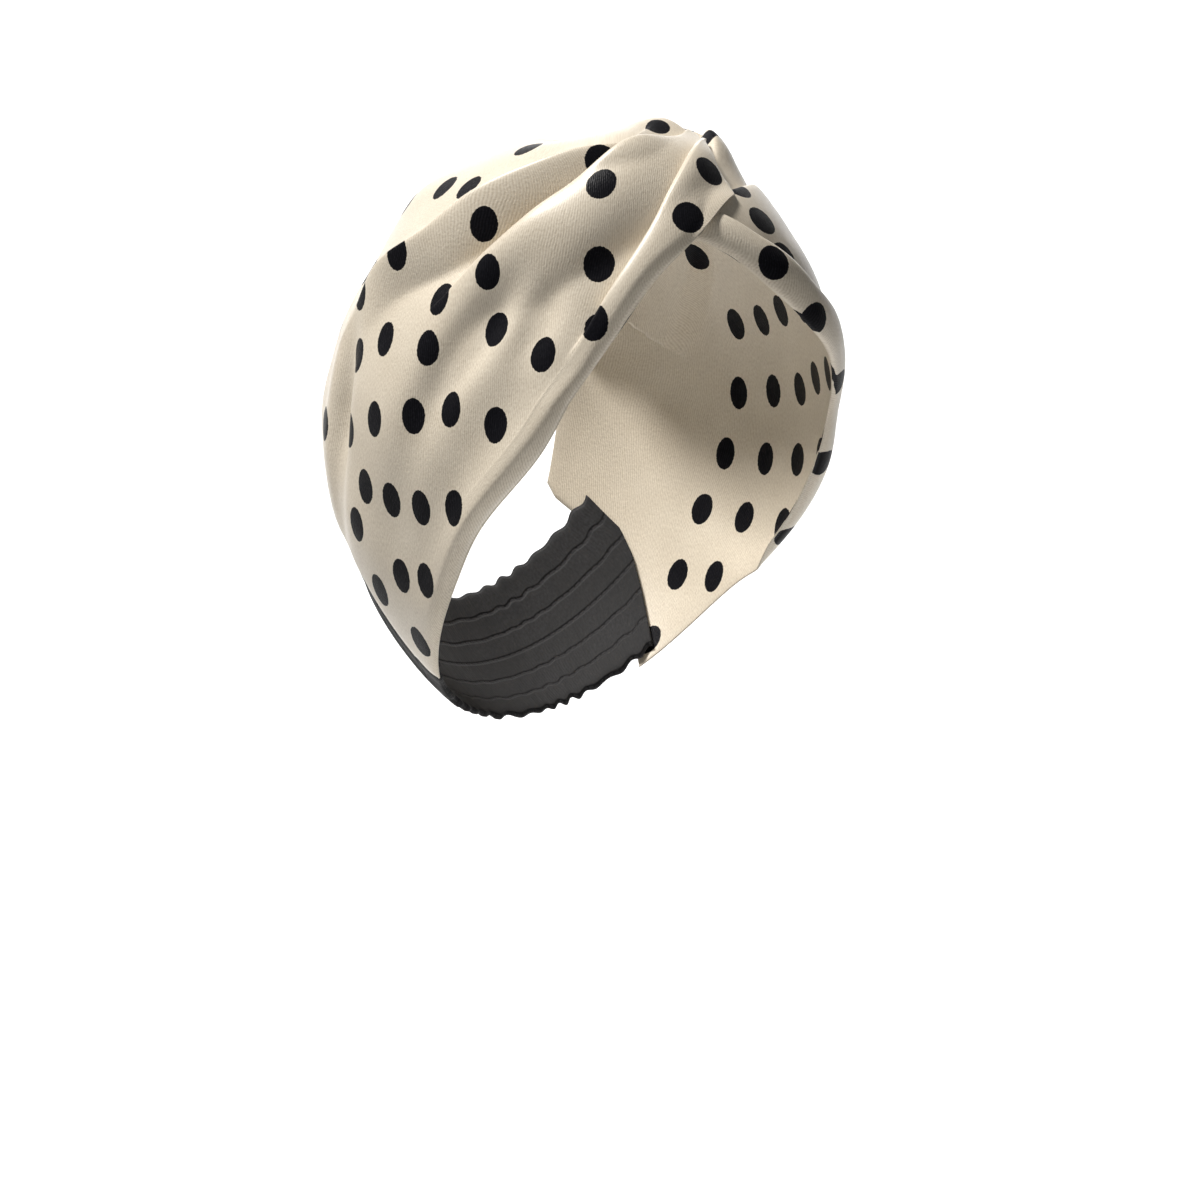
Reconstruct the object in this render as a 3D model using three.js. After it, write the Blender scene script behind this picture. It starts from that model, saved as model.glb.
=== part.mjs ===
// Twist-front turban headband: two satin panels pleated into a knot over the forehead, joined behind the
// neck by a gathered elastic. Millimetres, +Z up, front toward -Y, wearer's right toward -X.
import * as THREE from 'three';

// Egg-shaped hollow the band is shaped round
const hollowHalfWidth = 76;
const hollowHalfLength = 95;
const hollowTop = 92;
const hollowBottom = 118;
const browNarrowing = 0.12;
// Angle from level up to the knot; the hoop of the band lies in the plane through this line and X
const hoopTilt = 52;

// Cloth
const leastWall = 1.0;
const hemThickness = 0.6;
const hemAboveLining = 0.8;
// Toward the elastic the hems stop turning in
const hemRelease = [98, 116];
const hemReleased = 8;
const knotRun = 4.2;
const seamRun = 3;
const pleatReach = 7;
const openShare = 0.4;
const mmPerDegree = 1.55;
const panelStations = 38;
const stationSpread = 1.15;
const layerColumns = [6, 8, 7, 8];

// Part of the left panel that lies flat under the right one, and the run over which it rises beside it
const tuckHeight = 4.7;
const tuckRamp = [2.2, 5.4];

// Behind the knot the lining drops to the hollow
const freeSeat = 0.6;
const freeLatitude = [20, 27];
const freeAngle = [-3, 5];

// Elastic
const elasticStations = 76;
const elasticColumns = 9;
const elasticTuck = 5;
const elasticInner = 0.35;
const elasticOuter = 2.9;
const elasticTucked = 2.45;
const gatherHeight = 0.6;
const gatherCount = 17;
const elasticFront = [-15.8, -14];
const elasticRear = [20.5, 17];

// Stations along each panel. psi: degrees round the hoop from the knot; front and rear: hem latitudes;
// fold1 to fold3: latitudes of the pleat edges; lift and seat: outer and inner faces above the hollow
const stationColumns = ['psi', 'front', 'fold1', 'fold2', 'fold3', 'rear', 'lift', 'seat'];
const rightStations = [
  [-10, -4.0, 14.5, 18.2, 22.6, 26.0, 10.6, 5.2],
  [4, -8.0, 5.2, 11.0, 18.4, 31.0, 8.6, 5.2],
  [20, -14.5, -4.6, 6.6, 11.6, 48.0, 7.0, 5.1],
  [35, -18.0, -12.2, 5.6, 13.8, 57.0, 4.8, 1.4],
  [50, -22.2, -16.8, 6.4, 18.8, 60.0, 3.9, 0.6],
  [65, -24.9, -19.5, 9.4, 23.0, 61.0, 3.4, 0.5],
  [80, -25.9, -20.5, 11.0, 31.0, 53.0, 3.2, 0.5],
  [100, -21.5, -16.0, 9.0, 34.0, 46.5, 3.0, 0.5],
  [112, -20.1, -14.8, 7.0, 31.0, 44.0, 3.2, 0.7],
  [123, -19.0, -13.8, 5.5, 26.0, 37.5, 5.0, 2.9],
  [142, -16.4, -11.0, 3.0, 16.0, 24.0, 5.0, 2.9],
];
const leftStations = [
  [-22, -10.5, -5.0, 2.0, 10.0, 16.0, 2.8, 0.5],
  [-12, -19.0, -11.0, -3.0, 9.0, 17.0, 6.4, 0.5],
  [-4, -26.5, -18.0, -6.0, 10.0, 19.0, 6.4, 0.5],
  [6, -31.5, -23.5, -3.5, 13.0, 27.0, 5.8, 0.5],
  [16, -34.5, -27.5, 0.5, 16.5, 42.0, 5.2, 0.6],
  [30, -35.0, -28.0, 6.0, 23.5, 55.0, 5.0, 1.6],
  [46, -34.0, -28.5, 9.0, 31.0, 59.5, 4.8, 2.0],
  [62, -33.0, -27.5, 11.0, 33.4, 61.0, 6.6, 3.6],
  [80, -31.5, -26.0, 11.0, 33.5, 54.0, 10.5, 7.2],
  [100, -27.0, -21.5, 9.0, 33.0, 47.0, 9.5, 6.5],
  [112, -22.5, -17.0, 7.0, 31.0, 44.0, 5.2, 2.6],
  [123, -19.0, -13.8, 5.5, 26.0, 37.5, 5.0, 2.9],
  [142, -16.4, -11.0, 3.0, 16.0, 24.0, 5.0, 2.9],
];

// Pleats, in mm. up: rise of the layer in front of the edge over frontWidth, straight for bulge 1 and rounder
// above it; roll, drop: how far from the edge its lip turns down and how much; down: sink of the layer
// behind over rearWidth; grow and fade: hoop angles over which the pleat leaves the knot and dies away
const foldColumns = [
  'up', 'frontWidth', 'bulge', 'roll', 'drop', 'down', 'rearWidth', 'overlap',
  'growFrom', 'growTo', 'fadeFrom', 'fadeTo',
];
const rightFolds = [
  [3.4, 14, 1.8, 5, 2.2, 2.6, 12, 4, -13, 13, 40, 64],
  [9.2, 22, 1.8, 7, 3.4, 6.0, 9, 6, -14, 26, 42, 76],
  [11.5, 14, 1.1, 3, 1.2, -5.0, 10, 3, -2, 32, 58, 104],
];
const leftFolds = [
  [2.8, 12, 1.4, 4, 1.2, 2.4, 9, 4, -20, 6, 44, 70],
  [1.2, 20, 1.4, 4, 0.8, 2.6, 12, 3, -40, -30, 58, 80],
  [1.6, 14, 1.4, 4, 0.6, 1.4, 9, 3, -40, -30, 88, 106],
];

// Soft dents and puffs: centre, heading and half sizes in degrees, height in mm (a dent is negative)
const swellColumns = ['psi', 'lat', 'heading', 'length', 'width', 'height'];
const rightSwells = [
  [26, 46, 0, 16, 14, -1.0],
  [11, 34, 0, 12, 9, -6.0],
  [-4, 20.5, 0, 8, 5, 3.4],
  [52, 54, 10, 14, 9, 3.0],
  [82, 46, -30, 12, 10, -1.8],
  [73, -1.5, -3, 19, 4.2, -6.4],
  [74, 1, -2, 28, 13, 2.6],
  [61, -9.5, -20, 9, 3.6, -3.6],
  [62, 21, -28, 10, 5, -1.2],
  [106, 29, -22, 18, 5, 1.6],
  [110, 22, -24, 16, 3.4, -5.5],
  [76, 27, -10, 13, 4, 0.9],
  [112, -4, -6, 16, 6, -1.0],
  [92, -21.8, 8, 27, 4.6, 5.2],
  [97, 1, 0, 9, 12, 1.2],
];
const leftSwells = [
  [26, 46, 0, 16, 14, -2.0],
  [57, 54, 10, 13, 9, 2.4],
  [70, 1.5, 2, 22, 5, -1.6],
  [62, 21, -28, 10, 5, -1.2],
  [104, 33, -20, 18, 5, -1.2],
  [11, 15, 10, 9, 12, 8.0],
];
// Dent of the right lining under the groove behind the ear
const rightDent = { psi: 107, lat: 23.3, heading: -24, length: 12, width: 4, height: -3.4 };
// Roll of the left panel under the right one's tip: centre and half sizes in degrees, height in mm
const rightBed = { psi: 7, lat: -9, length: 12, width: 6, height: 2.8 };
const leftBed = { psi: -7, lat: -9, length: 12, width: 6, height: 2.7 };

// Ends of the panels: the hoop angle at which each latitude ends, at the knot and at the elastic
const rightKnotEnd = [[-8, 4.0], [-4, 1.9], [1, 1.0], [7, -2.5], [15, -9.5], [19, -8.0], [26, -5.0]];
const leftKnotEnd = [[-10, -21], [-4, -18], [2, -15], [14, -12], [22, -10]];
const seamEnd = [[-16.5, 141], [-10, 138], [-3, 135], [4, 132.5], [10, 131.6], [20, 134], [25, 136]];
// Outline of the right panel over the left one, in the left panel's own angles
const coverLine = [
  [-17, -26], [-14.5, -20], [-10, -10], [-7, -4], [1, -1], [7, 2.5], [15, 9.5], [19, 8], [28, 5],
];

const rad = Math.PI / 180;

// Cubic through a table of rising x; slopes from the neighbours on either side
function ease(xs, ys, x) {
  const last = xs.length - 1;
  let i = 0;
  while (i < last - 1 && x > xs[i + 1]) {
    i += 1;
  }
  const slope = (k) => {
    const a = Math.max(k - 1, 0);
    const b = Math.min(k + 1, last);
    return (ys[b] - ys[a]) / (xs[b] - xs[a]);
  };
  const run = xs[i + 1] - xs[i];
  const t = Math.min(Math.max((x - xs[i]) / run, 0), 1);
  const u = 1 - t;
  const ends = (1 + 2 * t) * u * u * ys[i] + t * t * (3 - 2 * t) * ys[i + 1];
  return ends + t * u * run * (u * slope(i) - t * slope(i + 1));
}

// Straight lines between the rows of a two-column table
function between(rows, x) {
  let i = 0;
  while (i < rows.length - 2 && x > rows[i + 1][0]) {
    i += 1;
  }
  const t = (x - rows[i][0]) / (rows[i + 1][0] - rows[i][0]);
  return rows[i][1] + (rows[i + 1][1] - rows[i][1]) * Math.min(Math.max(t, 0), 1);
}

function smooth(from, to, x) {
  return THREE.MathUtils.smoothstep(x, from, to);
}

// Quarter-round of an edge: 0 at the edge, 1 after the run
function quarterRound(distance, run) {
  const t = 1 - Math.min(Math.max(distance / run, 0), 1);
  return Math.sqrt(1 - t * t);
}

// Point at hoop angle psi, latitude lat and height h above the hollow; side -1 is the wearer's right
function place(side, psi, lat, h) {
  const tilt = hoopTilt * rad;
  const c = Math.cos(lat * rad);
  const forward = c * Math.cos(psi * rad);
  const across = side * c * Math.sin(psi * rad);
  const rise = Math.sin(lat * rad);
  const y = -Math.cos(tilt) * forward + Math.sin(tilt) * rise;
  const z = Math.sin(tilt) * forward + Math.cos(tilt) * rise;
  const reach = z >= 0 ? hollowTop : hollowBottom;
  return [
    (hollowHalfWidth * (1 + browNarrowing * y) + h) * across,
    (hollowHalfLength + h) * y,
    (reach + h) * z,
  ];
}

// Closed shell from an outer and an inner grid of points, rows along the band and columns across it
function shell(outer, inner, mirrored) {
  const rows = outer.length;
  const columns = outer[0].length;
  const points = [...outer.flat(), ...inner.flat()].flat();
  const at = (face, r, c) => face * rows * columns + r * columns + c;
  const index = [];
  const quad = (a, b, c, d) => {
    const order = mirrored ? [a, c, b, a, d, c] : [a, b, c, a, c, d];
    index.push(...order);
  };
  for (let r = 0; r < rows - 1; r += 1) {
    for (let c = 0; c < columns - 1; c += 1) {
      quad(at(0, r, c), at(0, r, c + 1), at(0, r + 1, c + 1), at(0, r + 1, c));
      quad(at(1, r, c), at(1, r + 1, c), at(1, r + 1, c + 1), at(1, r, c + 1));
    }
    const c = columns - 1;
    quad(at(0, r, 0), at(0, r + 1, 0), at(1, r + 1, 0), at(1, r, 0));
    quad(at(0, r + 1, c), at(0, r, c), at(1, r, c), at(1, r + 1, c));
  }
  for (let c = 0; c < columns - 1; c += 1) {
    const r = rows - 1;
    quad(at(0, 0, c + 1), at(0, 0, c), at(1, 0, c), at(1, 0, c + 1));
    quad(at(0, r, c), at(0, r, c + 1), at(1, r, c + 1), at(1, r, c));
  }
  const geometry = new THREE.BufferGeometry();
  geometry.setAttribute('position', new THREE.Float32BufferAttribute(points, 3));
  geometry.setIndex(index);
  geometry.computeVertexNormals();
  return geometry;
}

// Columns across a panel: the layer each belongs to and its share of the way across that layer
function panelColumns() {
  const list = [];
  layerColumns.forEach((count, layer) => {
    for (let j = 0; j < count; j += 1) {
      list.push({ layer, share: j / (count - 1) });
    }
  });
  return list;
}

function bell(psi, lat, { psi: atPsi, lat: atLat, heading = 0, length, width, height }) {
  const c = Math.cos(heading * rad);
  const s = Math.sin(heading * rad);
  const a = ((psi - atPsi) * c + (lat - atLat) * s) / length;
  const b = ((lat - atLat) * c - (psi - atPsi) * s) / width;
  return height * Math.exp(-a * a - b * b);
}

function pleatStrength(fold, psi) {
  return smooth(fold.growFrom, fold.growTo, psi) * (1 - smooth(fold.fadeFrom, fold.fadeTo, psi));
}

// Table rows as objects with the named columns
function named(rows, names) {
  return rows.map((row) => Object.fromEntries(names.map((name, k) => [name, row[k]])));
}

// Pleated panel of one side: layers lie like shingles and each pleat doubles back under the layer in front
function panel({ side, stations, folds, swells, dents, knotEnd, bed, covered, hemRun, hemHeight }) {
  const column = (name) => stations.map((row) => row[stationColumns.indexOf(name)]);
  const psiColumn = column('psi');
  const read = (name, psi) => ease(psiColumn, column(name), psi);
  const puffs = named(swells, swellColumns);
  const pleats = named(folds, foldColumns);
  const lines = ['front', 'fold1', 'fold2', 'fold3', 'rear'];
  const latitude = ({ layer, share }, psi) => {
    const low = read(lines[layer], psi);
    return low + (read(lines[layer + 1], psi) - low) * share;
  };
  const endOf = (col, table, guess) => {
    let psi = guess;
    for (let pass = 0; pass < 8; pass += 1) {
      psi = between(table, latitude(col, psi));
    }
    return psi;
  };
  const seatAt = (psi, lat) => {
    const seat = read('seat', psi);
    const free = psi < 90 ? smooth(...freeLatitude, lat) * smooth(...freeAngle, psi) : 0;
    const shape = dents.reduce((sum, dent) => sum + bell(psi, lat, dent), covered ? 0 : bell(psi, lat, bed));
    return seat + (Math.min(seat, freeSeat) - seat) * free + shape;
  };
  const heightAt = (col, psi, lat) => {
    let h = read('lift', psi);
    pleats.forEach((fold, i) => {
      const d = (lat - read(lines[i + 1], psi)) * mmPerDegree;
      const before = Math.min(Math.max(-d / fold.frontWidth, 0), 1);
      const lip = fold.drop * (1 - quarterRound(-d, fold.roll));
      const rise = fold.up * (1 - before ** fold.bulge) - lip;
      const sink = -fold.down * Math.exp(-((d / fold.rearWidth) ** 2));
      h += pleatStrength(fold, psi) * (col.layer <= i ? rise : sink);
    });
    puffs.forEach((puff) => {
      h += bell(psi, lat, puff);
    });
    if (covered) {
      const edge = between(coverLine, lat);
      const flat = Math.min(h, tuckHeight + bell(psi, lat, bed));
      h = flat + (h - flat) * smooth(edge + tuckRamp[0], edge + tuckRamp[1], psi);
    }
    return Math.max(h, seatAt(psi, lat) + leastWall);
  };
  // Latitude once the pleats are laid; full 0 leaves the cloth flat, lap 0 leaves out the overlap
  const pleated = (col, psi, lat, full, lap) => {
    let shift = 0;
    pleats.forEach((fold, i) => {
      const strength = full * pleatStrength(fold, psi);
      const half = (strength * lap * fold.overlap) / 2 / mmPerDegree - (1 - strength) * openShare;
      const d = (lat - read(lines[i + 1], psi)) * mmPerDegree;
      shift += (col.layer <= i ? half : -half) * Math.exp(-((d / pleatReach) ** 2));
    });
    return lat + shift;
  };
  const columns = panelColumns();
  const from = columns.map((col) => endOf(col, knotEnd, -4));
  const to = columns.map((col) => endOf(col, seamEnd, 137));
  const outer = [];
  const inner = [];
  for (let r = 0; r < panelStations; r += 1) {
    const along = (r / (panelStations - 1)) ** stationSpread;
    const outerRow = [];
    const innerRow = [];
    columns.forEach((col, j) => {
      const psi = from[j] + (to[j] - from[j]) * along;
      const flatLat = latitude(col, psi);
      const endRound = quarterRound((psi - from[j]) * mmPerDegree, knotRun)
        * quarterRound((to[j] - psi) * mmPerDegree, seamRun);
      const rounding = (lat) => {
        const toHem = Math.min(lat - read('front', psi), read('rear', psi) - lat) * mmPerDegree;
        return endRound * quarterRound(toHem, hemRun);
      };
      const hemTop = hemHeight + hemReleased * smooth(...hemRelease, psi);
      const rimAt = (lat) => Math.min(seatAt(psi, lat) + hemAboveLining, hemTop);
      const top = heightAt(col, psi, pleated(col, psi, flatLat, 1, 0));
      const topLat = pleated(col, psi, flatLat, 1, 1);
      const topRim = rimAt(topLat) + hemThickness / 2;
      const underLat = pleated(col, psi, flatLat, 0, 0);
      const underRim = rimAt(underLat) - hemThickness / 2;
      const under = seatAt(psi, underLat);
      outerRow.push(place(side, psi, topLat, topRim + (top - topRim) * rounding(topLat)));
      innerRow.push(place(side, psi, underLat, underRim + (under - underRim) * rounding(underLat)));
    });
    outer.push(outerRow);
    inner.push(innerRow);
  }
  return shell(outer, inner, side > 0);
}

// Uneven gathers of the elastic: a wave whose pace and height wander along the strip
function gatherAt(along, share) {
  const turn = 2 * Math.PI;
  const slow = 0.3 * Math.sin(turn * 2.7 * along + 0.6);
  const wander = slow + 0.12 * Math.sin(turn * (1.3 * share + 3.1 * along));
  return (0.7 + 0.3 * Math.sin(turn * 4.3 * along + 1.1)) * Math.cos(turn * (gatherCount * along + wander));
}

// Gathered elastic round the nape, its two ends lying under the panels
function elastic() {
  const outer = [];
  const inner = [];
  for (let r = 0; r < elasticStations; r += 1) {
    const along = r / (elasticStations - 1);
    const middle = Math.sin(Math.PI * along);
    const front = elasticFront[0] + (elasticFront[1] - elasticFront[0]) * middle;
    const rear = elasticRear[0] + (elasticRear[1] - elasticRear[0]) * middle;
    const outerRow = [];
    const innerRow = [];
    for (let j = 0; j < elasticColumns; j += 1) {
      const share = j / (elasticColumns - 1);
      const gather = gatherAt(along, share);
      const lat = front + (rear - front) * share + 0.5 * gather * (2 * share - 1);
      const seam = between(seamEnd, lat);
      const start = seam - elasticTuck;
      const psi = start + (360 - 2 * start) * along;
      const past = Math.min(psi, 360 - psi) - seam;
      const clear = smooth(-1, 4, past);
      const top = elasticTucked + (elasticOuter - elasticTucked + gatherHeight * gather) * clear;
      const round = quarterRound(Math.min(share, 1 - share) * (rear - front) * mmPerDegree, 2.5);
      const half = ((top - elasticInner) / 2) * (0.45 + 0.55 * round);
      const centre = (top + elasticInner) / 2;
      outerRow.push(place(-1, psi, lat, centre + half));
      innerRow.push(place(-1, psi, lat, centre - half));
    }
    outer.push(outerRow);
    inner.push(innerRow);
  }
  return shell(outer, inner, false);
}

const satin = (name) => {
  const material = new THREE.MeshStandardMaterial({ color: 0xe3d6c0, roughness: 0.42, metalness: 0 });
  material.name = name;
  return material;
};
const black = new THREE.MeshStandardMaterial({ color: 0x121214, roughness: 0.85, metalness: 0 });
black.name = 'elastic_black';

const headband = new THREE.Group();
headband.name = 'turban_headband';
const add = (name, geometry, material) => {
  const mesh = new THREE.Mesh(geometry, material);
  mesh.name = name;
  headband.add(mesh);
};
add('right_panel', panel({
  side: -1,
  stations: rightStations,
  folds: rightFolds,
  swells: rightSwells,
  dents: [rightDent],
  knotEnd: rightKnotEnd,
  bed: rightBed,
  covered: false,
  hemRun: 4.5,
  hemHeight: 9,
}), satin('right_satin'));
add('left_panel', panel({
  side: 1,
  stations: leftStations,
  folds: leftFolds,
  swells: leftSwells,
  dents: [],
  knotEnd: leftKnotEnd,
  bed: leftBed,
  covered: true,
  hemRun: 9,
  hemHeight: 1.4,
}), satin('left_satin'));
add('back_elastic', elastic(), black);

export default headband;
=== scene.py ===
import bpy
import math
import numpy as np
from mathutils import Matrix, Vector


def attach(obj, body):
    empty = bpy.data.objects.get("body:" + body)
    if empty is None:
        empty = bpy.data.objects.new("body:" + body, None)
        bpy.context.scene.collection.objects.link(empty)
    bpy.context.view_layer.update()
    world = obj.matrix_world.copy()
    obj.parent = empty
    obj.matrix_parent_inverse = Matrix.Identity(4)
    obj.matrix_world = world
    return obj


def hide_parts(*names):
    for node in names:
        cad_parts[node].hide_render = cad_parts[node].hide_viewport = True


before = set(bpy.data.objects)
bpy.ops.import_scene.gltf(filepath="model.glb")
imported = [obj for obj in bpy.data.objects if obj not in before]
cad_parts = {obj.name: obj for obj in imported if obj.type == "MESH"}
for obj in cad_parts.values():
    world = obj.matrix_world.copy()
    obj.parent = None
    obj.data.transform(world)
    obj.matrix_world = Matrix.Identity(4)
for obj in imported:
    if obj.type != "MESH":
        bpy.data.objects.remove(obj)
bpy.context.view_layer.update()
mm = 0.001
print("frame loaded")

# hollow of the band: an egg, narrower at the brow; the hoop leans back so the knot sits 52 degrees above level
head = {"halfWidth": 76, "halfLength": 95, "top": 92, "bottom": 118, "narrow": 0.12, "tilt": 52,
        "mmPerDegree": 1.55}  # mm, tilt in degrees, mm for a degree across the band


# cubic through a short table, slopes taken from the neighbours on both sides
def ease(xs, ys, x):
    xs, ys = np.asarray(xs, float), np.asarray(ys, float)
    slope = np.empty_like(ys)
    slope[1:-1] = (ys[2:] - ys[:-2]) / (xs[2:] - xs[:-2])
    slope[0] = (ys[1] - ys[0]) / (xs[1] - xs[0])
    slope[-1] = (ys[-1] - ys[-2]) / (xs[-1] - xs[-2])
    i = np.clip(np.searchsorted(xs, x) - 1, 0, len(xs) - 2)
    run = xs[i + 1] - xs[i]
    t = np.clip((x - xs[i]) / run, 0, 1)
    w = 1 - t
    return ((1 + 2 * t) * w * w * ys[i] + t * t * (3 - 2 * t) * ys[i + 1]
            + t * w * run * (w * slope[i] - t * slope[i + 1]))


# straight lines through a short table of pairs
def tableLine(rows, x):
    rows = np.asarray(rows, float)
    return np.interp(x, rows[:, 0], rows[:, 1])


# 0 up to a, 1 from b, a smooth S between
def smoothStep(a, b, x):
    t = np.clip((x - a) / (b - a), 0, 1)
    return t * t * (3 - 2 * t)


# quarter circle: 0 at the edge, 1 after the run
def quarterRound(d, run):
    t = 1 - np.clip(d / run, 0, 1)
    return np.sqrt(1 - t * t)


# point at hoop angle psi and latitude lat, h mm above the hollow; side -1 is the wearer's right
def headPoint(side, psi, lat, h):
    ps, la, tilt = np.radians(psi), np.radians(lat), math.radians(head["tilt"])
    forward, across, rise = np.cos(la) * np.cos(ps), side * np.cos(la) * np.sin(ps), np.sin(la)
    y = -math.cos(tilt) * forward + math.sin(tilt) * rise
    z = math.sin(tilt) * forward + math.cos(tilt) * rise
    reach = np.where(z >= 0, head["top"], head["bottom"])
    return np.stack([(head["halfWidth"] * (1 + head["narrow"] * y) + h) * across,
                     (head["halfLength"] + h) * y, (reach + h) * z], -1) * mm


# closed shell of two grids (rows along, columns across), joined by a strip round their outline
def shellMesh(name, outer, inner, flip, fields):
    rows, cols = outer.shape[:2]
    n = rows * cols
    grid = np.arange(n).reshape(rows, cols)
    a, b, c, d = grid[:-1, :-1], grid[:-1, 1:], grid[1:, 1:], grid[1:, :-1]
    top = np.stack([a, b, c, d], -1).reshape(-1, 4)
    under = top[:, ::-1] + n
    rim = np.concatenate([grid[0, ::-1], grid[1:, 0], grid[-1, 1:], grid[-2:0:-1, -1]])
    nxt = np.roll(rim, -1)
    side = np.stack([rim, nxt, nxt + n, rim + n], -1)
    faces = np.concatenate([top, under, side])
    if flip:
        faces = faces[:, ::-1]
    mesh = bpy.data.meshes.new(name)
    mesh.from_pydata(np.concatenate([outer.reshape(-1, 3), inner.reshape(-1, 3)]), [], faces)
    for key, (up, down) in fields.items():
        layer = mesh.attributes.new(key, "FLOAT", "POINT")
        layer.data.foreach_set("value", np.concatenate([up.ravel(), down.ravel()]).astype(np.float32))
    mesh.polygons.foreach_set("use_smooth", np.ones(len(faces), bool))
    mesh.update()
    piece = bpy.data.objects.new(name, mesh)
    bpy.context.scene.collection.objects.link(piece)
    return piece


# degrees from the knot, hems and pleat edges in degrees, cloth face and lining in mm above the hollow
stationNames = ["psi", "front", "fold1", "fold2", "fold3", "rear", "lift", "seat"]
edgeNames = stationNames[1:6]
rightPanel = {
    "side": -1,
    "rows": 240, "layers": [22, 34, 28, 42], "turn": 7,  # grid: rows along, columns in each layer and in each Z
    "knotCrowd": 1.15, "hemCrowd": 1.5, "smoothing": 3,  # rows crowd toward the knot, columns toward the hems
    "endGuess": (-4.0, 137.0), "endRounds": 8,  # psi where the search for the two ends starts, and its rounds
    "wall": 1.0, "hemRun": 4.5, "hemThickness": 0.6, "hemHeight": 9, "rimHeight": 0.8,  # mm: least cloth, then hems
    "knotRun": 4.2, "seamRun": 3,  # mm over which the two ends are rounded
    "hemRelease": {"rise": 8, "psi": (98, 116)},  # toward the elastic the hems stop turning in
    "pleatReach": 7, "pleatSlack": 0.4,  # mm that a pleat draws in beside it, degrees that an opened one leaves
    "backDrop": {"height": 0.6, "lat": (20, 27), "psi": (-3, 5), "until": 90},  # lining behind the knot
    "dotPull": 0.9,  # how much the dots are narrowed front to back
    "stations": [
        [-10, -4.0, 14.5, 18.2, 22.6, 26.0, 10.6, 5.2],
        [4, -8.0, 5.2, 11.0, 18.4, 31.0, 8.6, 5.2],
        [20, -14.5, -4.6, 6.6, 11.6, 48.0, 7.0, 5.1],
        [35, -18.0, -12.2, 5.6, 13.8, 57.0, 4.8, 1.4],
        [50, -22.2, -16.8, 6.4, 18.8, 60.0, 3.9, 0.6],
        [65, -24.9, -19.5, 9.4, 23.0, 61.0, 3.4, 0.5],
        [80, -25.9, -20.5, 11.0, 31.0, 53.0, 3.2, 0.5],
        [100, -21.5, -16.0, 9.0, 34.0, 46.5, 3.0, 0.5],
        [112, -20.1, -14.8, 7.0, 31.0, 44.0, 3.2, 0.7],
        [123, -19.0, -13.8, 5.5, 26.0, 37.5, 5.0, 2.9],
        [142, -16.4, -11.0, 3.0, 16.0, 24.0, 5.0, 2.9]],
    # rise in front, sink behind, their widths, the lip's roll and drop, overlap, where the pleat grows and dies away
    "folds": [
        {"up": 3.4, "down": 2.6, "frontWidth": 14, "rearWidth": 12, "bulge": 1.8, "roll": 5, "drop": 2.2,
         "overlap": 4, "grow": (-13, 13), "fade": (40, 64)},
        {"up": 9.2, "down": 6.0, "frontWidth": 22, "rearWidth": 9, "bulge": 1.8, "roll": 7, "drop": 3.4,
         "overlap": 6, "grow": (-14, 26), "fade": (42, 76)},
        {"up": 11.5, "down": -5.0, "frontWidth": 14, "rearWidth": 10, "bulge": 1.1, "roll": 3, "drop": 1.2,
         "overlap": 3, "grow": (-2, 32), "fade": (58, 104)}],
    # centre, heading and half sizes in degrees, height in mm
    "swells": [
        [26, 46, 0, 16, 14, -1.0], [11, 34, 0, 12, 9, -6.0], [-4, 20.5, 0, 8, 5, 3.4], [52, 54, 10, 14, 9, 3.0],
        [82, 46, -30, 12, 10, -1.8], [73, -1.5, -3, 19, 4.2, -6.4], [74, 1, -2, 28, 13, 2.6],
        [61, -9.5, -20, 9, 3.6, -3.6], [62, 21, -28, 10, 5, -1.2], [106, 29, -22, 18, 5, 1.6],
        [110, 22, -24, 16, 3.4, -5.5], [76, 27, -10, 13, 4, 0.9], [112, -4, -6, 16, 6, -1.0],
        [92, -21.8, 8, 27, 4.6, 5.2], [97, 1, 0, 9, 12, 1.2]],
    "dent": [107, 23.3, -24, 12, 4, -3.4],  # the lining gives way under the deepest hollow, columns as for swells
    "bed": [7, -9, 12, 6, 2.8],  # roll under the knot: centre and half sizes in degrees, height in mm
    "knotEnd": [[-8, 4.0], [-4, 1.9], [1, 1.0], [7, -2.5], [15, -9.5], [19, -8.0], [26, -5.0]],  # latitude, psi
    "seamEnd": [[-16.5, 141], [-10, 138], [-3, 135], [4, 132.5], [10, 131.6], [20, 134], [25, 136]],
    "cover": None,
}
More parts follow.
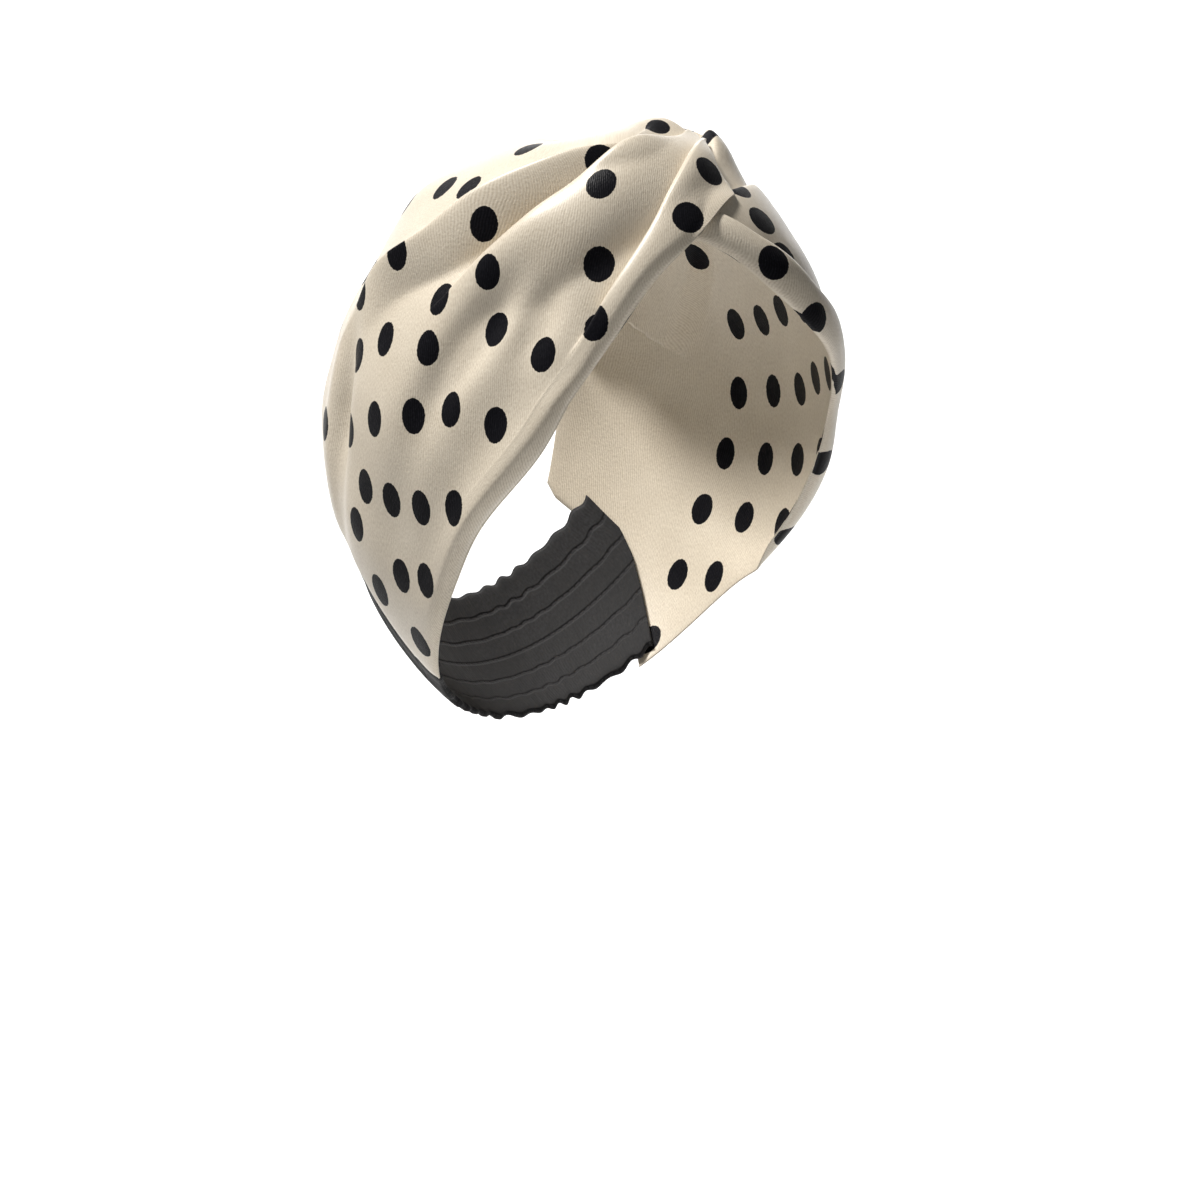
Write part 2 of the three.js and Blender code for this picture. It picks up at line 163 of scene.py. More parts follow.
leftPanel = dict(rightPanel, **{
    "side": 1,
    "stations": [
        [-22, -10.5, -5.0, 2.0, 10.0, 16.0, 2.8, 0.5],
        [-12, -19.0, -11.0, -3.0, 9.0, 17.0, 6.4, 0.5],
        [-4, -26.5, -18.0, -6.0, 10.0, 19.0, 6.4, 0.5],
        [6, -31.5, -23.5, -3.5, 13.0, 27.0, 5.8, 0.5],
        [16, -34.5, -27.5, 0.5, 16.5, 42.0, 5.2, 0.6],
        [30, -35.0, -28.0, 6.0, 23.5, 55.0, 5.0, 1.6],
        [46, -34.0, -28.5, 9.0, 31.0, 59.5, 4.8, 2.0],
        [62, -33.0, -27.5, 11.0, 33.4, 61.0, 6.6, 3.6],
        [80, -31.5, -26.0, 11.0, 33.5, 54.0, 10.5, 7.2],
        [100, -27.0, -21.5, 9.0, 33.0, 47.0, 9.5, 6.5],
        [112, -22.5, -17.0, 7.0, 31.0, 44.0, 5.2, 2.6],
        [123, -19.0, -13.8, 5.5, 26.0, 37.5, 5.0, 2.9],
        [142, -16.4, -11.0, 3.0, 16.0, 24.0, 5.0, 2.9]],
    "folds": [
        {"up": 2.8, "down": 2.4, "frontWidth": 12, "rearWidth": 9, "bulge": 1.4, "roll": 4, "drop": 1.2,
         "overlap": 4, "grow": (-20, 6), "fade": (44, 70)},
        {"up": 1.2, "down": 2.6, "frontWidth": 20, "rearWidth": 12, "bulge": 1.4, "roll": 4, "drop": 0.8,
         "overlap": 3, "grow": (-40, -30), "fade": (58, 80)},
        {"up": 1.6, "down": 1.4, "frontWidth": 14, "rearWidth": 9, "bulge": 1.4, "roll": 4, "drop": 0.6,
         "overlap": 3, "grow": (-40, -30), "fade": (88, 106)}],
    "swells": [
        [26, 46, 0, 16, 14, -2.0], [57, 54, 10, 13, 9, 2.4], [70, 1.5, 2, 22, 5, -1.6], [62, 21, -28, 10, 5, -1.2],
        [104, 33, -20, 18, 5, -1.2], [11, 15, 10, 9, 12, 8.0]],
    "dent": None,
    "bed": [-7, -9, 12, 6, 2.7],
    "hemHeight": 1.4, "hemRun": 9,
    "knotEnd": [[-10, -21], [-4, -18], [2, -15], [14, -12], [22, -10]],
    # where the other panel's end covers this one: latitude, psi; under it the cloth is held down to tuckHeight
    "cover": [[-17, -26], [-14.5, -20], [-10, -10], [-7, -4], [1, -1], [7, 2.5], [15, 9.5], [19, 8], [28, 5]],
    "tuckHeight": 4.7, "tuckRamp": (0.4, 3.4),
})


# soft hump or hollow: a Gaussian, longer along its heading than across it
def swell(row, psi, lat):
    cPsi, cLat, heading, length, width, height = row
    c, s = math.cos(math.radians(heading)), math.sin(math.radians(heading))
    a = ((psi - cPsi) * c + (lat - cLat) * s) / length
    b = ((lat - cLat) * c - (psi - cPsi) * s) / width
    return height * np.exp(-a * a - b * b)


# soft rise of the lower panel's roll where it slides under the upper one: a Gaussian
def bedHeight(spec, psi, lat):
    cPsi, cLat, length, width, height = spec["bed"]
    return height * np.exp(-((psi - cPsi) / length) ** 2 - ((lat - cLat) / width) ** 2)


# lining height: the table's, let down to the hollow behind the knot, raised over that roll, dented under the groove
def seatHeight(spec, psi, lat, column):
    seat, back = column("seat", psi), spec["backDrop"]
    drop = (np.minimum(seat, back["height"]) - seat) * smoothStep(*back["lat"], lat)
    drop = drop * smoothStep(*back["psi"], psi) * (psi < back["until"])
    bed = 0 if spec["cover"] else bedHeight(spec, psi, lat)
    dent = swell(spec["dent"], psi, lat) if spec["dent"] else 0
    return seat + drop + bed + dent


# a pleat grows out of the knot and dies away along the band
def pleatStrength(fold, psi):
    return smoothStep(*fold["grow"], psi) * (1 - smoothStep(*fold["fade"], psi))


# cloth height: lift, plus a rise with a rolled lip before and a sink behind each pleat edge, plus the soft swells
def clothHeight(spec, layer, psi, lat, lines, column):
    h = column("lift", psi)
    for i, fold in enumerate(spec["folds"]):
        d = (lat - lines[i + 1]) * head["mmPerDegree"]
        rise = fold["up"] * (1 - np.clip(-d / fold["frontWidth"], 0, 1) ** fold["bulge"])
        rise = rise - fold["drop"] * (1 - quarterRound(-d, fold["roll"]))
        sink = -fold["down"] * np.exp(-(d / fold["rearWidth"]) ** 2)
        h = h + pleatStrength(fold, psi) * np.where(layer <= i, rise, sink)
    h = h + sum(swell(row, psi, lat) for row in spec["swells"])
    if spec["cover"]:
        edge = tableLine(spec["cover"], lat)
        flat = np.minimum(h, spec["tuckHeight"] + bedHeight(spec, psi, lat))
        h = flat + (h - flat) * smoothStep(edge + spec["tuckRamp"][0], edge + spec["tuckRamp"][1], psi)
    return np.maximum(h, seatHeight(spec, psi, lat, column) + spec["wall"])


# running length along rows (axis 0) or across them (axis 1), in mm
def runningLength(points, axis):
    step = np.linalg.norm(np.diff(points, axis=axis), axis=2) / mm
    return np.concatenate([np.zeros_like(np.take(step, [0], axis)), np.cumsum(step, axis)], axis)


# columns across a panel: the layer of each, its share of the way across that layer, and its way through a Z or -1
def panelColumns(spec):
    layer, share, turnQ = [], [], []
    lastLayer = len(spec["layers"]) - 1
    for k, count in enumerate(spec["layers"]):
        x = np.linspace(0, 1, count)
        if k == 0:
            x = x ** spec["hemCrowd"]
        elif k == lastLayer:
            x = 1 - (1 - x) ** spec["hemCrowd"]
        turns = spec["turn"] if k < lastLayer else 0
        layer += [k] * (count + turns)
        share += [*x, *[1] * turns]
        turnQ += [*[-1] * count, *((np.arange(turns) + 1) / (turns + 1))]
    return np.array(layer), np.array(share), np.array(turnQ)


# one pleated panel: layers lie like shingles, each pleat is a Z of cloth between two layers
def panelSurface(spec):
    stations, scale = np.asarray(spec["stations"], float), head["mmPerDegree"]
    layer, share, turnQ = panelColumns(spec)
    inTurn, turnQ = turnQ >= 0, np.clip(turnQ, 0, 1)

    def column(key, psi):
        return ease(stations[:, 0], stations[:, stationNames.index(key)], psi)

    def latitude(psi):
        lines = np.stack([column(key, psi) for key in edgeNames])
        low = np.take_along_axis(lines, np.broadcast_to(layer, psi.shape)[None], 0)[0]
        high = np.take_along_axis(lines, np.broadcast_to(layer + 1, psi.shape)[None], 0)[0]
        return low + (high - low) * share, lines

    # both ends are slanted lines, so each column's end angle settles in a few rounds
    first, last = [np.full((1, len(layer)), guess) for guess in spec["endGuess"]]
    for step in range(spec["endRounds"]):
        first = tableLine(spec["knotEnd"], latitude(first)[0])
        last = tableLine(spec["seamEnd"], latitude(last)[0])
    psi = first + (last - first) * np.linspace(0, 1, spec["rows"])[:, None] ** spec["knotCrowd"]
    lat, lines = latitude(psi)
    front, rear = lines[0], lines[-1]

    # latitudes once the pleats are laid; laid 0 leaves the cloth flat, lap 0 leaves out the overlap
    def pleated(laid, lap=1):
        shift = np.zeros_like(lat)
        for i, fold in enumerate(spec["folds"]):
            strength = laid * pleatStrength(fold, psi)
            half = strength * lap * fold["overlap"] / 2 / scale - (1 - strength) * spec["pleatSlack"]
            reach = half * np.exp(-((lat - lines[i + 1]) * scale / spec["pleatReach"]) ** 2)
            beside = np.where(layer <= i, reach, -reach)
            shift = shift + np.where(inTurn & (layer == i), half * np.cos(np.pi * turnQ), beside)
        return lat + shift

    spread = pleated(1, 0)
    h = clothHeight(spec, layer, psi, spread, lines, column)
    lower = clothHeight(spec, layer + 1, psi, spread, lines, column)
    h = np.where(inTurn, h + (lower - h) * turnQ, h)
    under, lat = pleated(0), pleated(1)
    for step in range(spec["smoothing"]):
        lat[:, 1:-1] = (lat[:, :-2] + 2 * lat[:, 1:-1] + lat[:, 2:]) / 4
        h[:, 1:-1] = (h[:, :-2] + 2 * h[:, 1:-1] + h[:, 2:]) / 4

    thin, release = spec["hemThickness"] / 2, spec["hemRelease"]
    hemTop = spec["hemHeight"] + release["rise"] * smoothStep(*release["psi"], psi)
    endRound = quarterRound((psi - psi[:1]) * scale, spec["knotRun"])
    endRound = endRound * quarterRound((psi[-1:] - psi) * scale, spec["seamRun"])
    hemRound = quarterRound(np.minimum(lat - front, rear - lat) * scale, spec["hemRun"])
    rim = np.minimum(seatHeight(spec, psi, lat, column) + spec["rimHeight"], hemTop)
    outer = headPoint(spec["side"], psi, lat, rim + thin + (h - rim - thin) * hemRound * endRound)
    hemRound = quarterRound(np.minimum(under - front, rear - under) * scale, spec["hemRun"])
    seat = seatHeight(spec, psi, under, column)
    rim = np.minimum(seat + spec["rimHeight"], hemTop)
    inner = headPoint(spec["side"], psi, under, rim - thin + (seat - rim + thin) * hemRound * endRound)
    return outer, inner


# printed dots, in mm on the cloth: a row's start, step and bend, each along and across, then its count
rightPanel["dotRows"] = [
    [14.8, 8.1, 0, 0, 0, 0, 1], [12.3, 32.8, 22.4, -6.2, -3.9, -1.6, 3], [23, 53.1, 0, 0, 0, 0, 1],
    [39.9, 55.6, 9.2, -13.6, 0.6, 0.4, 4], [35.6, 95, 10.9, -18.5, 0, 0, 2], [65.1, 64.8, 16.1, -12.6, 0, 0, 2],
    [94.4, 44, 9.6, -16.2, 0, 0, 2], [69.4, 92.3, 14.1, -2.7, 0.9, -5.1, 3], [123.2, 49.4, 1.5, -25, 7, 3.4, 3],
    [87, 111, 24.5, -7.5, 0, 0, 2], [110.9, 169, 18.1, -13.3, -2.9, -0.2, 3], [113, 76, 15.5, -10.4, 5.2, -4.3, 3],
    [138.2, 91.8, 44.1, -33.7, 0, 0, 2], [158.3, 137.3, 29.5, -47.3, 0, 0, 2], [204.4, 9.2, 23.5, 6.7, 0, 0, 2],
    [229, 70, 0, 0, 0, 0, 1], [183.5, 88.5, 0, 0, 0, 0, 1], [36, 125.4, 0, 0, 0, 0, 1],
    [43, 143, 14.4, -13.6, 0, 0, 2], [79, 142.6, 0, 0, 0, 0, 1]]
leftPanel["dotRows"] = [
    [212.8, 96.1, 16.7, -46.9, 0, 0, 2], [223.6, 38.5, -10, -10, 0, 0, 2], [222.1, 8.4, -29.3, -6.6, 0, 0, 2],
    [150, 0, -36, 3, 0, 0, 4], [22, 88, 14.4, -13.6, 0, 0, 6], [26, 118, 14.4, -13.6, 0, 0, 8],
    [47, 131, 14.4, -13.6, 0, 0, 8], [68, 146, 14.4, -13.6, 0, 0, 8], [88, 161, 14.4, -13.6, 0, 0, 8],
    [123, 160, 14.4, -13.6, 0, 0, 6], [144, 174, 14.4, -13.6, 0, 0, 5], [12, 62, 14.4, -13.6, 0, 0, 4]]
# even rows on the lining: the first dot of row 0, the way to the next row's, the step within a row
lining = {"start": (6, 8), "apart": (20, 15), "step": (14.4, -13.6), "count": 14, "rows": (-9, 12)}
liningDots = [[lining["start"][0] + lining["apart"][0] * k, lining["start"][1] + lining["apart"][1] * k,
               *lining["step"], 0, 0, lining["count"]] for k in range(*lining["rows"])]
# mm: a dot this far off the cloth is dropped, the reach along the threads, how fast it ends there, far from any dot
dotPrint = {"offCloth": 4, "reach": 10.5, "cutoff": 3, "far": 50.0}


# dot k of a row lies at start + k * step + k * k * bend
def printedDots(rows):
    dots = []
    for along, across, stepAlong, stepAcross, bendAlong, bendAcross, count in rows:
        k = np.arange(count)
        dots += [*zip(along + k * stepAlong + k * k * bendAlong, across + k * stepAcross + k * k * bendAcross)]
    return dots


# distance to the nearest dot's centre in mm, more of it front to back because the pull downwards narrows the dots;
# only cloth near the dot along the threads counts, not another layer of the pleat
def dotGap(rows, along, across, points, pull):
    gap = np.full(along.shape, dotPrint["far"])
    for u, v in printedDots(rows):
        apart = np.hypot(along - u, across - v)
        if apart.min() < dotPrint["offCloth"]:
            offset = (points - points.reshape(-1, 3)[apart.argmin()]) / mm
            straight = np.sqrt((offset ** 2).sum(2) + pull * offset[..., 1] ** 2)
            gap = np.minimum(gap, straight + dotPrint["cutoff"] * np.maximum(apart - dotPrint["reach"], 0))
    return gap


# panel with its cloth coordinates: mm from the seam end, mm from the front hem, distance to the nearest dot
def makePanel(name, spec):
    outer, inner = panelSurface(spec)
    along, across, gap = [], [], []
    for points, rows in ((outer, spec["dotRows"]), (inner, liningDots)):
        length = runningLength(points, 0)
        along.append(length[-1:] - length)
        across.append(runningLength(points, 1))
        gap.append(dotGap(rows, along[-1], across[-1], points, spec["dotPull"]))
    return shellMesh(name, outer, inner, spec["side"] > 0, {"clothU": along, "clothV": across, "dotGap": gap})


rightPiece = makePanel("satin_right_panel", rightPanel)
leftPiece = makePanel("satin_left_panel", leftPanel)
print("panels made")

elastic = {
    "side": -1, "rows": 300, "cols": 40, "length": 150, "width": 56,  # from the right seam; cloth drawn out, in mm
    "front": (-15.8, -14), "rear": (20.5, 17),  # hems in degrees, at the seams and at the nape
    "tuck": 5, "clear": (-1, 4),  # degrees under the seams, and past them until the gathers are full
    "inner": 0.35, "outer": 2.9, "tucked": 2.45,  # mm above the hollow: lining, face, face under the seams
    "hemRun": 2.5, "hemShare": 0.45,  # mm over which the hems thin out, share of the thickness left there
    "gather": 0.6, "count": 17, "flutter": 0.5,  # height in mm, number of gathers, wave of the hems in degrees
    "drift": (0.3, 2.7, 0.6), "skew": (0.12, 1.3, 3.1),  # size, turns, phase; size, turns across, turns along
    "uneven": (0.3, 4.3, 1.1),  # share, turns, phase
}


# elastic: a strip round the nape whose face rises and falls with the gathers, cosines that drift along the strip
def makeElastic(name, spec):
    along = np.linspace(0, 1, spec["rows"])[:, None]
    share = np.linspace(0, 1, spec["cols"])[None]
    middle = np.sin(np.pi * along)
    front = spec["front"][0] + (spec["front"][1] - spec["front"][0]) * middle
    rear = spec["rear"][0] + (spec["rear"][1] - spec["rear"][0]) * middle
    turn = 2 * np.pi
    size, turns, phase = spec["drift"]
    wander = size * np.sin(turn * turns * along + phase)
    size, turnsAcross, turnsAlong = spec["skew"]
    wander = wander + size * np.sin(turn * (turnsAcross * share + turnsAlong * along))
    size, turns, phase = spec["uneven"]
    gather = (1 - size + size * np.sin(turn * turns * along + phase)) * np.cos(turn * (spec["count"] * along + wander))
    lat = front + (rear - front) * share + spec["flutter"] * gather * (2 * share - 1)
    seam = tableLine(rightPanel["seamEnd"], lat)
    start = seam - spec["tuck"]
    psi = start + (360 - 2 * start) * along
    clear = smoothStep(*spec["clear"], np.minimum(psi, 360 - psi) - seam)
    top = spec["tucked"] + (spec["outer"] - spec["tucked"] + spec["gather"] * gather) * clear
    edge = quarterRound(np.minimum(share, 1 - share) * (rear - front) * head["mmPerDegree"], spec["hemRun"])
    half = (top - spec["inner"]) / 2 * (spec["hemShare"] + (1 - spec["hemShare"]) * edge)
    centre = (top + spec["inner"]) / 2
    outer = headPoint(spec["side"], psi, lat, centre + half)
    inner = headPoint(spec["side"], psi, lat, centre - half)
    flat = np.broadcast_to(along * spec["length"], lat.shape)
    wide = np.broadcast_to(share * spec["width"], lat.shape)
    return shellMesh(name, outer, inner, False, {"clothU": (flat, flat), "clothV": (wide, wide)})


elasticPiece = makeElastic("gathered_elastic", elastic)
print("elastic made")


# new node with settings; an input may be a value or another node's socket
def addNode(tree, kind, inputs, **settings):
    item = tree.nodes.new(kind)
    for key, value in settings.items():
        setattr(item, key, value)
    for key, value in inputs.items():
        if isinstance(value, bpy.types.NodeSocket):
            tree.links.new(value, item.inputs[key])
        else:
            item.inputs[key].default_value = value
    return item


# one sum, product or other operation of two values
def calc(tree, operation, a, b=0.0):
    return addNode(tree, "ShaderNodeMath", {0: a, 1: b}, operation=operation).outputs[0]


# sum of a * b over the pairs given
def weighted(tree, *pairs):
    total = None
    for a, b in pairs:
        part = calc(tree, "MULTIPLY", a, b)
        total = part if total is None else calc(tree, "ADD", total, part)
    return total


# colour a where the share is 0, b where it is 1
def mixColour(tree, share, a, b):
    mix = addNode(tree, "ShaderNodeMix", {0: share}, data_type="RGBA")
    for socket, colour in zip((mix.inputs[6], mix.inputs[7]), (a, b)):
        if isinstance(colour, bpy.types.NodeSocket):
            tree.links.new(colour, socket)
        else:
            socket.default_value = (*colour, 1)
    return mix.outputs[2]


# soft noise about 0.5, finer with a larger scale, rougher with more detail
def noise(tree, vector, scale, detail):
    return addNode(tree, "ShaderNodeTexNoise", {"Vector": vector, "Scale": scale, "Detail": detail}).outputs["Fac"]


# value carried over from one range to another and held at its ends
def mapped(tree, value, fromMin, fromMax, toMin=0.0, toMax=1.0, curve="LINEAR"):
    limits = {"Value": value, "From Min": fromMin, "From Max": fromMax, "To Min": toMin, "To Max": toMax}
    return addNode(tree, "ShaderNodeMapRange", limits, interpolation_type=curve).outputs["Result"]


# vector of two coordinates
def placeXY(tree, x, y):
    return addNode(tree, "ShaderNodeCombineXYZ", {0: x, 1: y}).outputs[0]


# noise scales per mm, the ribs' wander in radians, how far glints are drawn out, spread of the noises kept
weaveLook = {"wanderScale": 0.12, "wander": 9, "draw": 0.6, "glintRange": (0.25, 0.75),
             "cloudScale": 0.05, "cloudRange": (0.3, 0.7)}


# weave: slanted ribs as a sine across the slant, glints as fine noise drawn out along the ribs, slow clouds of shade
def weaveGroup(look):
    tree = bpy.data.node_groups.new("weave", "ShaderNodeTree")
    for key in ("Along", "Across", "Pitch", "SlantAlong", "SlantAcross", "Glint"):
        tree.interface.new_socket(key, in_out="INPUT", socket_type="NodeSocketFloat")
    for key in ("Rib", "Glint", "Cloud"):
        tree.interface.new_socket(key, in_out="OUTPUT", socket_type="NodeSocketFloat")
    given, result = tree.nodes.new("NodeGroupInput").outputs, tree.nodes.new("NodeGroupOutput").inputs
    cloth = placeXY(tree, given["Along"], given["Across"])
    cross = weighted(tree, (given["Along"], given["SlantAlong"]), (given["Across"], given["SlantAcross"]))
    ahead = calc(tree, "SUBTRACT", calc(tree, "MULTIPLY", given["Across"], given["SlantAlong"]),
                 calc(tree, "MULTIPLY", given["Along"], given["SlantAcross"]))
    wander = mapped(tree, noise(tree, cloth, look["wanderScale"], 1.0), 0, 1, 0, look["wander"])
    turns = calc(tree, "DIVIDE", cross, given["Pitch"])
    phase = calc(tree, "ADD", calc(tree, "MULTIPLY", turns, 2 * math.pi), wander)
    rib = mapped(tree, calc(tree, "SINE", phase), -1, 1)
    fine = calc(tree, "DIVIDE", 1.0, given["Glint"])
    drawn = placeXY(tree, calc(tree, "MULTIPLY", cross, fine),
                    calc(tree, "MULTIPLY", calc(tree, "MULTIPLY", ahead, fine), look["draw"]))
    glint = mapped(tree, noise(tree, drawn, 1.0, 2.0), *look["glintRange"])
    cloud = mapped(tree, noise(tree, cloth, look["cloudScale"], 3.0), *look["cloudRange"])
    for key, socket in (("Rib", rib), ("Glint", glint), ("Cloud", cloud)):
        tree.links.new(socket, result[key])
    return tree


weave = weaveGroup(weaveLook)


# start of a cloth material: its tree and shader, the weave's outputs and the mesh's cloth coordinates under it
def startCloth(name, spec):
    mat = bpy.data.materials.new(name)
    mat.use_nodes = True
    tree = mat.node_tree
    along = addNode(tree, "ShaderNodeAttribute", {}, attribute_name="clothU").outputs["Fac"]
    across = addNode(tree, "ShaderNodeAttribute", {}, attribute_name="clothV").outputs["Fac"]
    inputs = {"Along": along, "Across": across, "Pitch": spec["pitch"], "Glint": spec["glint"],
              "SlantAlong": spec["slant"][0], "SlantAcross": spec["slant"][1]}
    threads = addNode(tree, "ShaderNodeGroup", inputs, node_tree=weave)
    shader = tree.nodes["Principled BSDF"]
    shader.inputs["Roughness"].default_value = spec["roughness"]
    shader.inputs["Sheen Weight"].default_value = spec["sheen"]
    return mat, tree, shader, threads.outputs, along, across


# the relief's height lifts the surface by the given distance in metres
def addRelief(tree, shader, height, distance):
    bump = addNode(tree, "ShaderNodeBump", {"Strength": 1.0, "Distance": distance, "Height": height})
    tree.links.new(bump.outputs["Normal"], shader.inputs["Normal"])


satinCloth = {
    "cream": (0.88, 0.805, 0.675), "shade": (0.58, 0.50, 0.385),
    # inkThreadGlint is the dots' lighter threads: weave lines with painted sheen
    "ink": (0.004, 0.004, 0.006), "inkThreadGlint": (0.014, 0.014, 0.018),
    "pitch": 0.8, "slant": (0.7, -0.7), "glint": 0.7,  # mm from rib to rib, their direction, mm of a glint
    "relief": 0.00006, "ribRelief": 0.5,  # height in metres, the ribs' part of it
    # glintShare is painted sparkle in the colour, beside random clouds and the twill ribs
    "cloudShare": 0.2, "ribShare": 0.4, "glintShare": 0.55,  # parts of the shade
    "dotRadius": 6.1, "dotEdge": 0.12, "dotFray": 0.15,  # mm
    "gloss": 1.0, "inkGloss": 0.06, "roughness": 0.38, "sheen": 0.03,
}


# cream satin with printed dots: ribs and glints shade both colours and lift the surface; the glints in the colour are
# painted sparkle, and the gloss lies on the cream
def makeSatin(name, spec):
    mat, tree, shader, threads = startCloth(name, spec)[:4]
    gap = addNode(tree, "ShaderNodeAttribute", {}, attribute_name="dotGap").outputs["Fac"]
    frayed = calc(tree, "ADD", gap, mapped(tree, threads["Glint"], 0, 1, -spec["dotFray"], spec["dotFray"]))
    inside, outside = spec["dotRadius"] - spec["dotEdge"], spec["dotRadius"] + spec["dotEdge"]
    dot = mapped(tree, frayed, inside, outside, 1, 0, "SMOOTHSTEP")
    # cream darkens toward the shade colour with random clouds and the twill ribs, and lightens with painted glint
    # sparkle
    shade = weighted(tree, (threads["Cloud"], spec["cloudShare"]), (threads["Rib"], spec["ribShare"]),
                     (threads["Glint"], spec["glintShare"]))
    cream = mixColour(tree, shade, spec["shade"], spec["cream"])
    # ink lightened where ribs and glints meet: weave lines and painted thread sheen on the dots
    ink = mixColour(tree, calc(tree, "MULTIPLY", threads["Rib"], threads["Glint"]), spec["ink"], spec["inkThreadGlint"])
    tree.links.new(mixColour(tree, dot, cream, ink), shader.inputs["Base Color"])
    shader.inputs["Specular IOR Level"].default_value = spec["inkGloss"]
    shader.inputs["Coat Roughness"].default_value = spec["roughness"]
    tree.links.new(mapped(tree, dot, 0, 1, spec["gloss"], 0), shader.inputs["Coat Weight"])
    height = calc(tree, "ADD", calc(tree, "MULTIPLY", threads["Rib"], spec["ribRelief"]), threads["Glint"])
    addRelief(tree, shader, height, spec["relief"])
    return mat


blackElastic = {
    # thread is the cloth's black; glintAndStitch is lighter, for stitch threads and painted glint sparkle
    "thread": (0.005, 0.005, 0.006), "glintAndStitch": (0.016, 0.016, 0.019), "cloudFloor": 0.3,
    "pitch": 1.1, "slant": (1.0, 0.15), "glint": 0.8, "roughness": 0.8, "sheen": 0.06,
    "channel": 9.3, "groove": 1.1, "crimp": 3.4, "crimpLength": 14.0,  # mm between rows, half a groove, crimps
    "stitch": 2.6, "stitchGap": (0.25, 0.5), "threadEdge": (0.15, 0.4),  # mm: length, its soft ends and sides
    "relief": 0.0004, "puff": 0.8, "weaveRelief": 0.06, "stitchRelief": 0.35,  # height in metres, parts of it
}


# black cloth drawn up by rows of stitching: a groove along each row, crimps between them; the colour lightens at stitch
# threads and at painted glint sparkle
def makeElasticCloth(name, spec):
    mat, tree, shader, threads, along, across = startCloth(name, spec)
    row = calc(tree, "PINGPONG", across, spec["channel"] / 2)
    groove = mapped(tree, row, 0, spec["groove"], 0, 1, "SMOOTHSTEP")
    place = placeXY(tree, calc(tree, "DIVIDE", along, spec["crimp"]), calc(tree, "DIVIDE", across, spec["crimpLength"]))
    crimp = noise(tree, place, 1.0, 2.0)
    dash = mapped(tree, calc(tree, "PINGPONG", along, spec["stitch"] / 2), *spec["stitchGap"], 0, 1, "SMOOTHSTEP")
    thread = calc(tree, "MULTIPLY", mapped(tree, row, *spec["threadEdge"], 1, 0, "SMOOTHSTEP"), dash)
    bright = calc(tree, "ADD", threads["Cloud"], spec["cloudFloor"])
    # lighter colour at the stitch threads and at painted glint sparkle, varied by random clouds
    shade = calc(tree, "MULTIPLY", calc(tree, "ADD", threads["Glint"], thread), bright)
    tree.links.new(mixColour(tree, shade, spec["thread"], spec["glintAndStitch"]), shader.inputs["Base Color"])
    fine = calc(tree, "ADD", threads["Rib"], threads["Glint"])
    height = weighted(tree, (crimp, groove), (groove, spec["puff"]), (fine, spec["weaveRelief"]),
                      (thread, spec["stitchRelief"]))
    addRelief(tree, shader, height, spec["relief"])
    return mat


satin = makeSatin("creamDottedSatin", satinCloth)
blackCloth = makeElasticCloth("blackShirring", blackElastic)
for piece, mat, node, slot in [(rightPiece, satin, "right_panel", "satin"), (leftPiece, satin, "left_panel", "satin"),
                               (elasticPiece, blackCloth, "back_elastic", "elastic_black")]:
    piece.data.materials.append(mat)
    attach(piece, "root")
    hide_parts(node)
print("cloth dressed")

# pale sweep in metres: a floor that curves up into a wall behind, square to the camera
stage = {"floor": -0.5, "wall": 1.3, "radius": 0.7, "half": 9.0, "near": -14.0, "height": 6.0, "turn": 45,
         "steps": 24, "paper": 0.76, "roughness": 0.9}


# profile of floor, quarter circle and wall, drawn out sideways
def makeSweep(spec):
    bend, wall = np.linspace(0, np.pi / 2, spec["steps"]), spec["wall"] + spec["radius"]
    reach = np.concatenate([[spec["near"]], spec["wall"] + spec["radius"] * np.sin(bend), [wall]])
    rise = np.concatenate([[0], spec["radius"] * (1 - np.cos(bend)), [spec["height"]]]) + spec["floor"]
    c, s = math.cos(math.radians(spec["turn"])), math.sin(math.radians(spec["turn"]))
    points = np.concatenate([np.stack([reach * s + w * c, reach * c - w * s, rise], -1)
                             for w in (-spec["half"], spec["half"])])
    n = len(reach)
    mesh = bpy.data.meshes.new("sweep")
    mesh.from_pydata(points, [], [(i, i + n, i + n + 1, i + 1) for i in range(n - 1)])
    mesh.polygons.foreach_set("use_smooth", np.ones(n - 1, bool))
    paper = bpy.data.materials.new("paper")
    paper.use_nodes = True
    shader = paper.node_tree.nodes["Principled BSDF"]
    shader.inputs["Base Color"].default_value = (spec["paper"], spec["paper"], spec["paper"], 1)
    shader.inputs["Roughness"].default_value = spec["roughness"]
    mesh.materials.append(paper)
    sweep = bpy.data.objects.new("sweep", mesh)
    bpy.context.scene.collection.objects.link(sweep)
    return sweep


sweep = makeSweep(stage)

# camera: degrees, mm to the origin, the pixel where the origin falls, picture size, sensor in mm, clip in metres
shot = {"azimuth": -45, "elevation": 2, "distance": 1100, "mmPerPixel": 0.35, "centre": (588, 410), "frame": 1200,
        "sensor": 36, "clip": (0.05, 50)}


# unit vector toward a place at that azimuth and elevation, azimuth 0 being in front of the face
def direction(azimuth, elevation):
    a, e = math.radians(azimuth), math.radians(elevation)
    return Vector((math.sin(a) * math.cos(e), -math.cos(a) * math.cos(e), math.sin(e)))


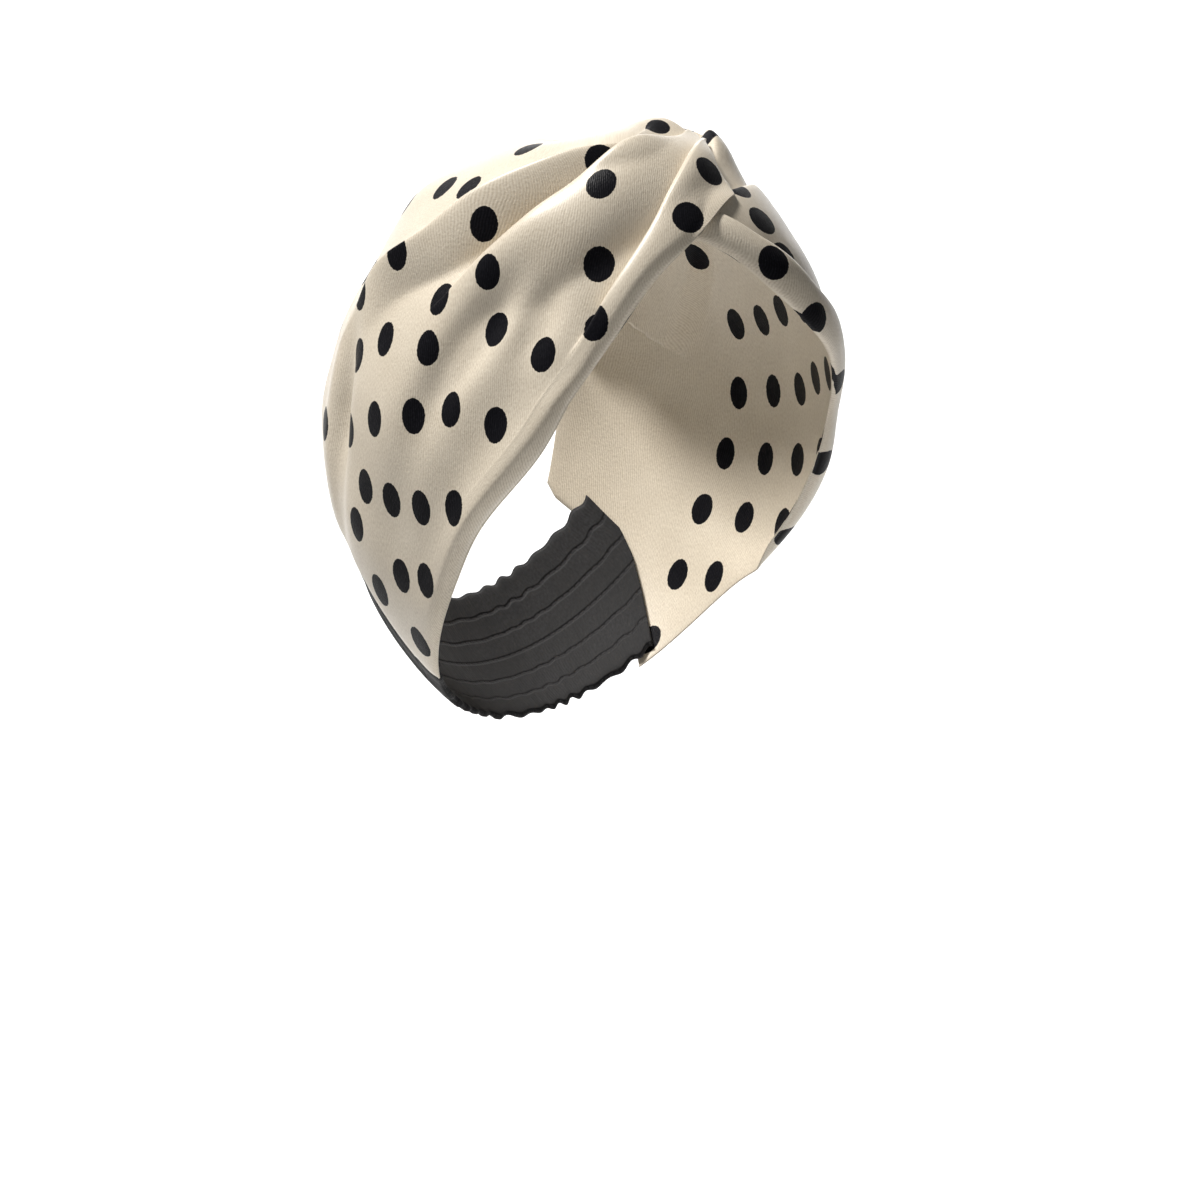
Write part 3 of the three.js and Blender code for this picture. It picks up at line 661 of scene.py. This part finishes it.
# camera square to its direction, moved sideways so that the origin falls on the given picture point
def addCamera(spec):
    back = direction(spec["azimuth"], spec["elevation"])
    right = (-back).cross(Vector((0, 0, 1))).normalized()
    up = right.cross(-back)
    half = spec["frame"] / 2
    offX = (spec["centre"][0] - half) * spec["mmPerPixel"]
    offY = (half - spec["centre"][1]) * spec["mmPerPixel"]
    place = (back * spec["distance"] - right * offX - up * offY) * mm
    data = bpy.data.cameras.new("camera")
    data.sensor_width = spec["sensor"]
    data.lens = spec["distance"] / spec["mmPerPixel"] / spec["frame"] * spec["sensor"]
    data.clip_start, data.clip_end = spec["clip"]
    cam = bpy.data.objects.new("camera", data)
    cam.matrix_world = Matrix.Translation(place) @ Matrix((right, up, back)).transposed().to_4x4()
    bpy.context.scene.collection.objects.link(cam)
    bpy.context.scene.camera = cam


addCamera(shot)

# lamps in metres and watts: a small key high behind the wearer's right, a weak fill, one for the wall
lamps = [
    {"name": "key", "azimuth": -120, "elevation": 63, "distance": 1.5, "size": 0.3, "power": 33,
     "colour": (1.0, 0.97, 0.93), "aim": (0, 0, 0)},
    {"name": "fill", "azimuth": -20, "elevation": 20, "distance": 2.0, "size": 0.8, "power": 1.2,
     "colour": (1, 1, 1), "aim": (0, 0, 0)},
    {"name": "backdrop", "azimuth": -45, "elevation": 40, "distance": 1.3, "size": 1.6, "power": 42,
     "colour": (1, 1, 1), "aim": (1.35, 1.35, 0.0)},
]
roomLight = 0.07


# square lamp at its distance from the aim, facing it
def addLamp(spec):
    data = bpy.data.lights.new(spec["name"], "AREA")
    data.size = spec["size"]
    data.energy = spec["power"]
    data.color = spec["colour"]
    toward = direction(spec["azimuth"], spec["elevation"])
    lamp = bpy.data.objects.new(spec["name"], data)
    lamp.location = Vector(spec["aim"]) + toward * spec["distance"]
    lamp.rotation_euler = toward.to_track_quat("Z", "Y").to_euler()
    bpy.context.scene.collection.objects.link(lamp)


for lamp in lamps:
    addLamp(lamp)
world = bpy.data.worlds.new("world")
world.use_nodes = True
world.node_tree.nodes["Background"].inputs["Color"].default_value = (1, 1, 1, 1)
world.node_tree.nodes["Background"].inputs["Strength"].default_value = roomLight
bpy.context.scene.world = world
bpy.context.scene.view_settings.view_transform = "Standard"
print("stage lit")

print("scene done")
